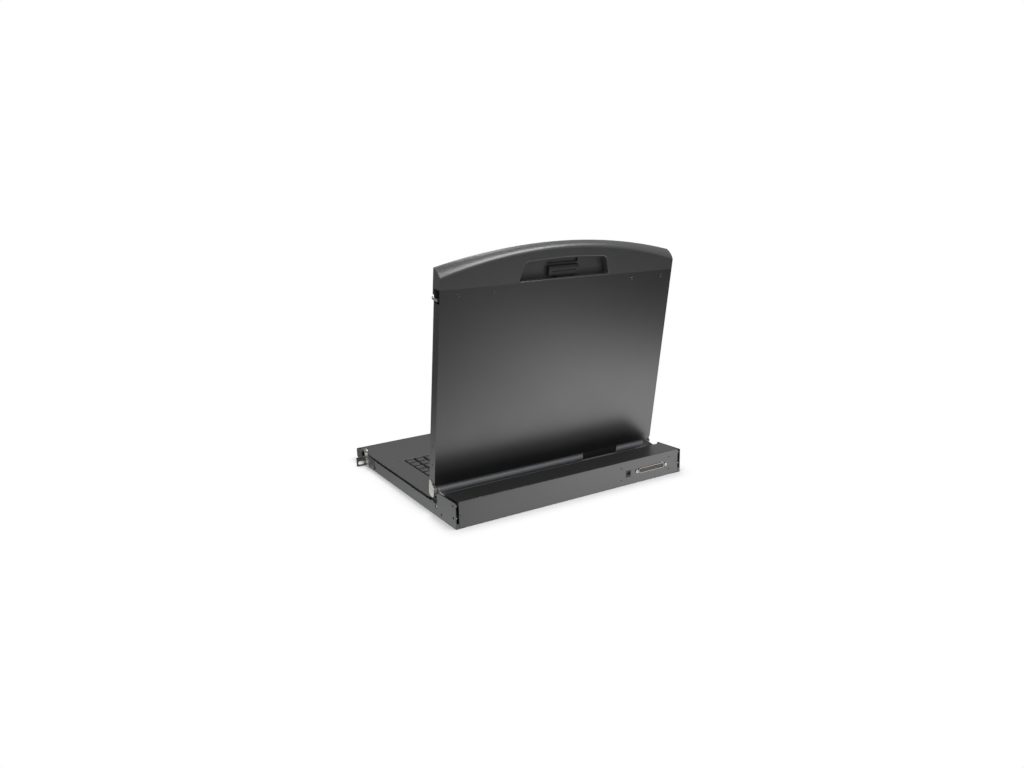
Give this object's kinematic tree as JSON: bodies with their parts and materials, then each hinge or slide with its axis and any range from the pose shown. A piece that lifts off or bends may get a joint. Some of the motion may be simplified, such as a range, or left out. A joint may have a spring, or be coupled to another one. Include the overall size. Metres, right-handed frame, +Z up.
{
  "type": "rackmount lcd console drawer",
  "caption": "Low rack console drawer: keyboard tray on telescopic slides between side rails with rack ears, and a fold-up flat screen lid with a crowned handle edge.",
  "frame": {"origin": "bottom centre of the object's bounding box, on the underside of the side rails", "axes": "+X to the user's right, +Y to the back of the rack, +Z up"},
  "size_m": [0.4826, 0.4054, 0.4139],
  "materials": {
    "acrylic": "clear acrylic",
    "black_plastic": "moulded",
    "black_screw": "blackened",
    "black_sheet": "fine texture powder coat, charcoal",
    "board": "solder mask",
    "crown_plastic": "satin moulded, charcoal",
    "deck_plastic": "fine texture moulded, charcoal",
    "key_plastic": "lightly textured",
    "nickel": "bright nickel",
    "pad_plastic": "smooth",
    "rubber": "soft pad",
    "screen": "anti-glare screen",
    "tin": "thin bright sheet",
    "zinc": "bright zinc plate"
  },
  "bodies": {
    "rails": {"side_rail_left": "black_sheet", "side_rail_right": "black_sheet", "ear_left": "black_sheet", "ear_right": "black_sheet", "front_bracket_left": "zinc", "front_bracket_right": "zinc", "slide_outer_left": "zinc", "slide_outer_right": "zinc", "cross_strap_front": "black_sheet", "cross_strap_rear": "black_sheet", "ear_rivets": "black_screw", "rear_nuts": "nickel"},
    "slide_middles": {"slide_middle_left": "zinc", "slide_middle_right": "zinc"},
    "drawer": {"slide_inner_left": "zinc", "slide_inner_right": "zinc", "hinge_bracket_left": "zinc", "hinge_bracket_right": "zinc", "tray_pan": "black_sheet", "rear_panel": "black_sheet", "box_cover": "black_sheet", "keyboard_surround": "deck_plastic", "keyboard_base": "black_plastic", "palm_rest": "deck_plastic", "front_fascia": "deck_plastic", "touchpad": "pad_plastic", "hinge_screws": "black_screw", "io_board": "board", "power_jack": "black_plastic", "connector_shell": "nickel", "connector_insert": "black_plastic", "jackscrews": "nickel", "panel_rivets": "black_screw"},
    "lid": {"hinge_arm_left": "zinc", "hinge_arm_right": "zinc", "lid_back_cover": "black_sheet", "crown_bezel": "crown_plastic", "front_bezel": "crown_plastic", "lcd_module": "tin", "lcd_light_guide": "acrylic", "lcd_glass": "screen", "panel_board": "board", "osd_board": "board", "hinge_pins": "nickel", "hinge_cover_long": "crown_plastic", "hinge_cover_short": "crown_plastic", "lid_screws": "black_screw", "deck_bumpers": "rubber"},
    "menu_buttons": {"osd_buttons": "black_plastic"},
    "lid_latch": {"latch_bar": "zinc", "latch_slider": "black_plastic"},
    "bottom_row_keys": {"keys_bottom_row": "key_plastic"},
    "lower_row_keys": {"keys_lower_row": "key_plastic"},
    "home_row_keys": {"keys_home_row": "key_plastic"},
    "upper_row_keys": {"keys_upper_row": "key_plastic"},
    "number_row_keys": {"keys_number_row": "key_plastic"},
    "function_row_keys": {"keys_function_row": "key_plastic"},
    "space_bar": {"space_bar": "key_plastic"},
    "pad_button_left": {"touchpad_button_left": "pad_plastic"},
    "pad_button_right": {"touchpad_button_right": "pad_plastic"}
  },
  "joints": [
    {"name": "drawer_slide", "type": "slide", "parent": "rails", "child": "drawer", "axis": [0, -1, 0], "range_m": [0, 0.34]},
    {"name": "slide_middle_slide", "type": "slide", "parent": "rails", "child": "slide_middles", "axis": [0, -1, 0], "range_m": [0, 0.17]},
    {"name": "lid_hinge", "type": "hinge", "parent": "drawer", "child": "lid", "pos_m": [0, 0.11565, 0.0353], "axis": [1, 0, 0], "range_deg": [-16, 99]},
    {"name": "latch_slide", "type": "slide", "parent": "lid", "child": "lid_latch", "axis": [0, 0.1564, 0.9877], "range_m": [0, 0.002], "stiffness_N_per_m": 900, "springref_m": -0.004},
    {"name": "menu_button_press", "type": "slide", "parent": "lid", "child": "menu_buttons", "axis": [0, 0.9877, -0.1564], "range_m": [0, 0.0008], "stiffness_N_per_m": 900, "springref_m": -0.0008},
    {"name": "bottom_row_press", "type": "slide", "parent": "drawer", "child": "bottom_row_keys", "axis": [0, 0, -1], "range_m": [0, 0.0025], "stiffness_N_per_m": 500, "springref_m": -0.002},
    {"name": "lower_row_press", "type": "slide", "parent": "drawer", "child": "lower_row_keys", "axis": [0, 0, -1], "range_m": [0, 0.0025], "stiffness_N_per_m": 500, "springref_m": -0.002},
    {"name": "home_row_press", "type": "slide", "parent": "drawer", "child": "home_row_keys", "axis": [0, 0, -1], "range_m": [0, 0.0025], "stiffness_N_per_m": 500, "springref_m": -0.002},
    {"name": "upper_row_press", "type": "slide", "parent": "drawer", "child": "upper_row_keys", "axis": [0, 0, -1], "range_m": [0, 0.0025], "stiffness_N_per_m": 500, "springref_m": -0.002},
    {"name": "number_row_press", "type": "slide", "parent": "drawer", "child": "number_row_keys", "axis": [0, 0, -1], "range_m": [0, 0.0025], "stiffness_N_per_m": 500, "springref_m": -0.002},
    {"name": "function_row_press", "type": "slide", "parent": "drawer", "child": "function_row_keys", "axis": [0, 0, -1], "range_m": [0, 0.0025], "stiffness_N_per_m": 500, "springref_m": -0.002},
    {"name": "space_bar_press", "type": "slide", "parent": "drawer", "child": "space_bar", "axis": [0, 0, -1], "range_m": [0, 0.0025], "stiffness_N_per_m": 260, "springref_m": -0.002},
    {"name": "pad_button_left_press", "type": "slide", "parent": "drawer", "child": "pad_button_left", "axis": [0, 0, -1], "range_m": [0, 0.0008], "stiffness_N_per_m": 700, "springref_m": -0.0008},
    {"name": "pad_button_right_press", "type": "slide", "parent": "drawer", "child": "pad_button_right", "axis": [0, 0, -1], "range_m": [0, 0.0008], "stiffness_N_per_m": 700, "springref_m": -0.0008}
  ],
  "couplings": [
    {"joint": "slide_middle_slide", "follows": "drawer_slide", "ratio": 0.5}
  ]
}
